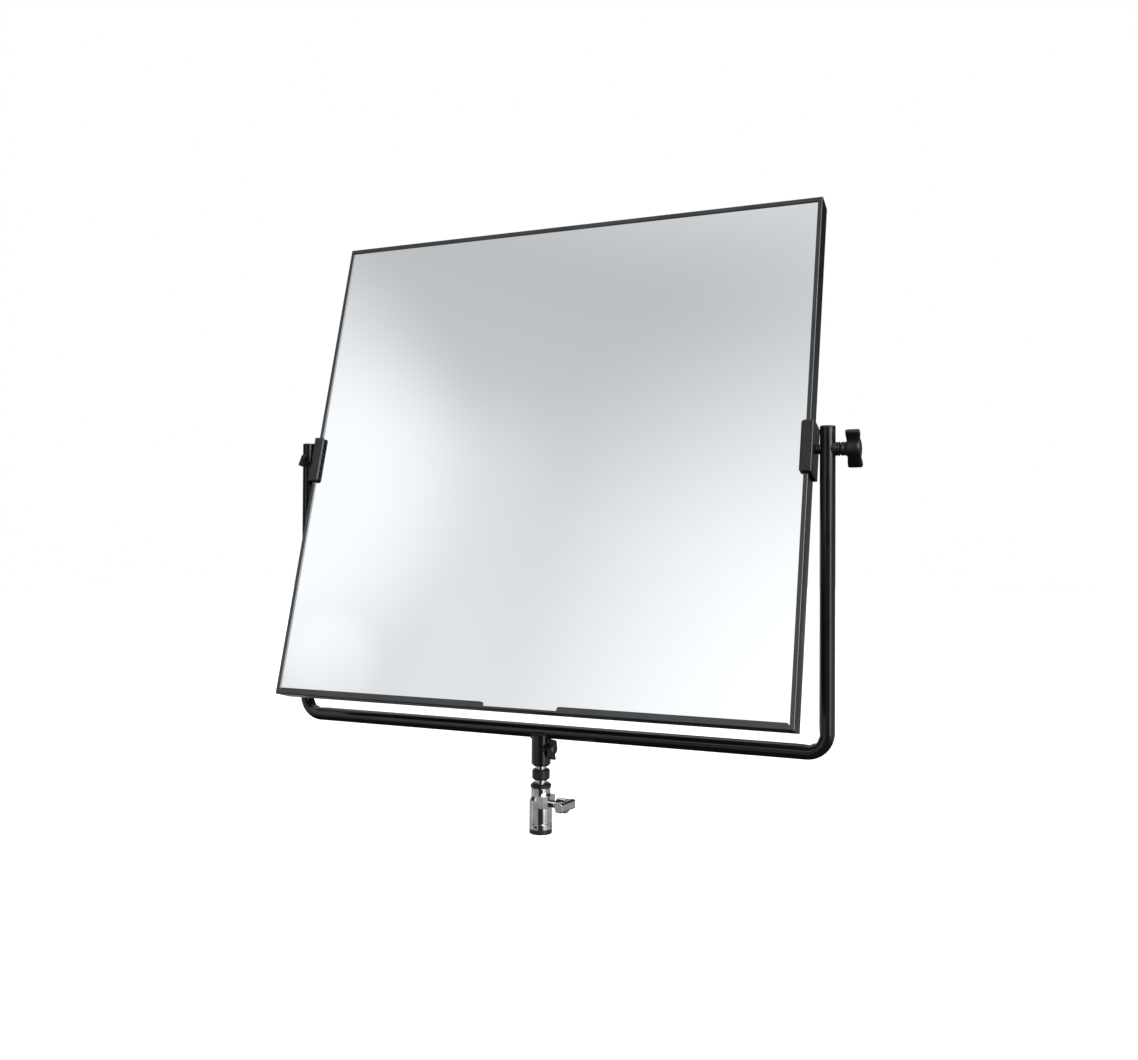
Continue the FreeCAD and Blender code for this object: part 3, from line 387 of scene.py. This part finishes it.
def make_weld(tube_r, tube_z):
    """Weld bead where the receiver's round body meets the underside of the tube."""
    reach = RECEIVER_R + WELD_OUT
    rings = []
    for turn in around(WELD_RINGS):
        x = reach * math.cos(turn)
        y = reach * math.sin(turn)
        drop = math.sqrt(max(tube_r ** 2 - y ** 2, (WELD_LOW * tube_r) ** 2))
        centre = Vector((x, y, tube_z - drop))
        across = Vector((math.cos(turn), math.sin(turn), 0))
        size = WELD_R * (1 + sum(share * math.sin(turn * drops) for share, drops in WELD_DROPS))
        rings.append([centre + (across * math.cos(a) + Vector((0, 0, 1)) * math.sin(a)) * size
                      for a in around(WELD_POINTS)])
    bm = bmesh.new()
    skin(bm, rings + rings[:1], closed=False)
    bmesh.ops.remove_doubles(bm, verts=bm.verts, dist=1e-6)
    smooth(new_piece("weld_bead", bm, [], slot="black_steel", body="yoke"), 80)


def turned(bm, outline, place):
    """Closed solid of revolution about the local X axis, from (x, radius) points."""
    skin(bm, [[place @ Vector((x, radius * math.cos(a), radius * math.sin(a))) for a in around(RING_POINTS)]
              for x, radius in outline])


def wings(bm, place, start, depth, span, thick, hub_r):
    """Two moulded wings along local Z, swept into a slight S, their faces scooped beside the hub.

    start: where they begin along local X, depth: how far they reach from there, span: tip to tip.
    """
    def scoop(out, share, middle, reach):
        return share * bell(out, middle, reach)

    rings = []
    for i in range(WING_RINGS + 1):
        up = -1 + 2 * i / WING_RINGS        # -1 at the lower tip, 0 at the hub, 1 at the upper tip
        out = abs(up)
        past = max(0.0, (out - TIP_FROM) / (1 - TIP_FROM))
        full = TIP_THICK + (1 - TIP_THICK) * math.sqrt(max(0.0, 1 - past ** TIP_CURVE))
        low = start + depth * scoop(out, *INNER_SCOOP)
        high = start + depth * (1 - scoop(out, *OUTER_SCOOP) - UPPER_SHORT * max(0.0, up))
        half_depth = (high - low) / 2 - depth * TIP_INSET * (1 - full)
        half_thick = thick / 2 * (ROOT_THICK + (1 - ROOT_THICK) * out) * full
        half_thick += (hub_r - thick / 2) * ROOT_SWELL * bell(up, 0, ROOT_REACH)
        sweep = thick * S_SWEEP * math.sin(math.pi * up)
        ring = []
        for angle in around(WING_POINTS):
            c, s = math.cos(angle), math.sin(angle)
            x = (low + high) / 2 + half_depth * math.copysign(abs(c) ** ROUND_SECTION, c)
            y = sweep + half_thick * math.copysign(abs(s) ** ROUND_SECTION, s)
            ring.append(place @ Vector((x, y, up * span / 2)))
        rings.append(ring)
    skin(bm, rings)


def screw_frame(joint, roll):
    """Frame on a screw's hinge: local X out along the screw, local Z up, then rolled about X."""
    axis = Vector(joint_of[joint]["axis"]).normalized()
    side = Vector((0, 0, 1)).cross(axis)
    up = axis.cross(side)
    turn = Matrix((axis, side, up)).transposed()
    at = Vector(joint_of[joint]["pos_m"])
    return Matrix.Translation(at) @ turn.to_4x4() @ Matrix.Rotation(math.radians(roll), 4, "X")


def make_tilt_knob():
    """Right-hand wing knob: ringed hub, then two wings."""
    low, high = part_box("tilt_knob")
    screw_x = joint_of["tilt_knob_turn"]["pos_m"][0]
    start, end = low.x - screw_x, high.x - screw_x
    scale = (end - start) / TILT_HUB[-1][0]
    place = screw_frame("tilt_knob_turn", TILT_KNOB_ROLL)
    bm = bmesh.new()
    turned(bm, [(start + x * scale, radius * MM) for x, radius in TILT_HUB], place)
    wings(bm, place, end - TILT_WINGS["depth"], **TILT_WINGS)
    smooth(new_piece("wing_knob", bm, ["tilt_knob"]), 35)


def make_receiver_knob():
    """Small wing knob at the receiver's right."""
    place = screw_frame("yoke_lock_turn", 0.0)
    bm = bmesh.new()
    turned(bm, [(x * MM, radius * MM) for x, radius in YOKE_HUB], place)
    wings(bm, place, YOKE_WINGS_X, **YOKE_WINGS)
    smooth(new_piece("small_wing_knob", bm, ["receiver_knob"]), 35)


# ---- camera, light and floor -----------------------------------------------
def make_camera():
    data = bpy.data.cameras.new("camera")
    data.lens = LENS_MM
    data.sensor_width = SENSOR_MM
    data.shift_y = SHIFT_Y
    data.clip_end = CLIP_END
    camera = bpy.data.objects.new("camera", data)
    camera.location = Vector(joint_of["board_tilt"]["pos_m"]) + Vector(CAMERA_FROM_AXIS)
    turns = (90 + CAMERA_PITCH, -CAMERA_ROLL, CAMERA_YAW)
    camera.rotation_euler = [math.radians(turn) for turn in turns]
    bpy.context.scene.collection.objects.link(camera)
    bpy.context.scene.camera = camera


class Sky(Nodes):
    """Studio surroundings, as brightness over direction: azimuth from +X towards +Y, elevation up."""

    def __init__(self):
        world = bpy.data.worlds.new("studio")
        bpy.context.scene.world = world
        super().__init__(world)
        self.tree.nodes.clear()
        self.direction = self.node("ShaderNodeTexCoord").outputs["Generated"]
        parts = self.node("ShaderNodeSeparateXYZ", [self.direction]).outputs
        degrees = 180 / math.pi
        self.azimuth = self.math("MULTIPLY", self.math("ARCTAN2", parts["Y"], parts["X"]), degrees)
        self.elevation = self.math("MULTIPLY", self.math("ARCSINE", parts["Z"]), degrees)
        self.total = 0.0

    def fade(self, value, start, end):
        """1 up to start, falling softly to 0 at end."""
        made = self.node("ShaderNodeMapRange", [value, start, end, 1.0, 0.0], interpolation_type="SMOOTHSTEP")
        return made.outputs["Result"]

    def add(self, share, brightness):
        self.total = self.math("ADD", self.total, self.math("MULTIPLY", share, brightness))

    def patch(self, azimuth, elevation, width, height, soft):
        """1 within a rectangle of directions (half width and half height in degrees), with a soft edge."""
        off = self.math("ABSOLUTE", self.math("SUBTRACT", self.azimuth, azimuth))
        up = self.math("ABSOLUTE", self.math("SUBTRACT", self.elevation, elevation))
        across = self.fade(off, width, width + soft)
        return self.math("MULTIPLY", across, self.fade(up, height, height + soft))

    def disc(self, azimuth, elevation, inner, outer):
        """1 within inner degrees of a direction, 0 at outer."""
        a, e = math.radians(azimuth), math.radians(elevation)
        axis = (math.cos(a) * math.cos(e), math.sin(a) * math.cos(e), math.sin(e))
        along = self.node("ShaderNodeVectorMath", [self.direction, axis], operation="DOT_PRODUCT")
        away = self.math("MULTIPLY", along.outputs["Value"], -1.0)
        return self.fade(away, -math.cos(math.radians(inner)), -math.cos(math.radians(outer)))

    def panel(self, azimuth, elevation, width, height, soft, brightness):
        self.add(self.patch(azimuth, elevation, width, height, soft), brightness)

    def glow(self, azimuth, elevation, inner, outer, brightness):
        self.add(self.disc(azimuth, elevation, inner, outer), brightness)

    def keep_within(self, azimuth, elevation, width, height, soft):
        """Everything so far stays only inside a rectangle of directions."""
        self.total = self.math("MULTIPLY", self.total, self.patch(azimuth, elevation, width, height, soft))

    def finish(self):
        """Reflections and light come from the panels; the camera sees a plain white backdrop."""
        lit = self.node("ShaderNodeBackground", [(0.985, 0.995, 1.0, 1.0), self.total]).outputs[0]
        plain = self.node("ShaderNodeBackground", [(1.0, 1.0, 1.0, 1.0), 1.0]).outputs[0]
        seen = self.node("ShaderNodeLightPath").outputs["Is Camera Ray"]
        both = self.node("ShaderNodeMixShader", [seen, lit, plain]).outputs[0]
        self.node("ShaderNodeOutputWorld", {"Surface": both})


def make_studio():
    """Panels: azimuth, elevation, half width, half height, soft edge, brightness; angles in degrees.

    Glows: azimuth, elevation, full out to, gone at, brightness.
    """
    sky = Sky()
    # Uneven white wall that the mirror shows, in front of the object on its left, and above it.
    sky.add(1.0, 0.53)
    sky.panel(-110.3, 7.3, 21.7, 19.8, 14.6, 0.12)
    sky.glow(-135.5, 26.2, 5.2, 13.2, 0.26)
    sky.glow(-85.0, 11.6, 0.1, 39.3, 0.56)
    sky.panel(-126.2, 19.3, 4.0, 10.6, 6.0, 0.12)
    sky.glow(-126.9, 18.3, 0.1, 3.0, 0.10)
    sky.keep_within(-119.0, 31.0, 20.0, 19.0, 6.0)
    # Faint light from everywhere, light from overhead, and a backdrop behind the object.
    sky.add(1.0, 0.035)
    sky.glow(90, 90, 20, 50, 0.9)
    sky.panel(140, 30, 22, 35, 10, 0.7)
    # Softbox at the front right with a weaker one below it, and a small one at the front left.
    sky.panel(-33, 27, 20, 15, 9, 6.0)
    sky.panel(-33, 0, 7, 10, 7, 2.2)
    sky.panel(-119, 0, 6, 4, 5, 0.9)
    # Pale table round the object: right, front left and left, then from the back right to the back left.
    sky.panel(-17, -15, 9, 5, 9, 0.55)
    sky.panel(-138, -18, 40, 8, 9, 0.33)
    sky.panel(-168, -18, 8, 8, 12, 0.2)
    sky.panel(36, -15, 42, 7, 9, 0.38)
    sky.panel(32, 2, 48, 4, 8, 0.12)
    sky.glow(84, -14, 3, 14, 0.4)
    sky.panel(150, -16, 25, 8, 18, 0.33)
    sky.finish()


def make_floor():
    """Plain pale paper, left out of reflections and of light on the object."""
    bm = bmesh.new()
    bmesh.ops.create_circle(bm, cap_ends=True, radius=FLOOR_R, segments=FLOOR_SIDES)
    mesh = bpy.data.meshes.new("floor")
    bm.to_mesh(mesh)
    bm.free()
    floor = bpy.data.objects.new("floor", mesh)
    floor.location.z = FLOOR_Z
    bpy.context.scene.collection.objects.link(floor)
    paper = Shader("floor", (0.85, 0.85, 0.85), 0.9)
    paper.put(paper.shader.inputs["Emission Color"], (1.0, 1.0, 1.0, 1.0))
    paper.put(paper.shader.inputs["Emission Strength"], FLOOR_SHINE)
    mesh.materials.append(paper.material)
    floor.visible_glossy = False
    floor.visible_diffuse = False


finishes = make_finishes()
for node, piece in nodes.items():
    piece.data.materials.clear()
    piece.data.materials.append(finishes[slot_of[node]])

tube_radius, tube_height = make_yoke_tube()
make_weld(tube_radius, tube_height)
make_tilt_knob()
make_receiver_knob()
make_camera()
make_studio()
make_floor()
bpy.context.scene.view_settings.view_transform = "Standard"
